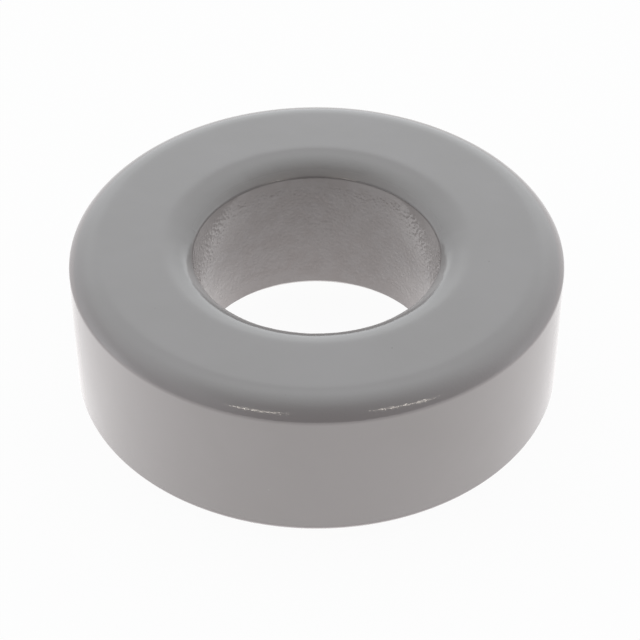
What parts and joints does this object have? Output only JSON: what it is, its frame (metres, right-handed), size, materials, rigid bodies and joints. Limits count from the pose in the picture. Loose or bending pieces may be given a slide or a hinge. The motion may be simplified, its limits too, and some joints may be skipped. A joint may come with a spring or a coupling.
{
  "type": "toroid core",
  "caption": "Ring core of pressed and fired ferrite with a round bore, flat faces, softly rounded corners and a smooth grey insulating coat.",
  "frame": {"origin": "centre of the base, on the axis of the ring", "axes": "+Z along the axis of the ring, from the base to the top face; X and Y lie in the base"},
  "size_m": [0.0202, 0.0202, 0.0071],
  "materials": {
    "coated_ferrite": "satin"
  },
  "bodies": {
    "root": {"toroid_core": "coated_ferrite"}
  },
  "joints": []
}
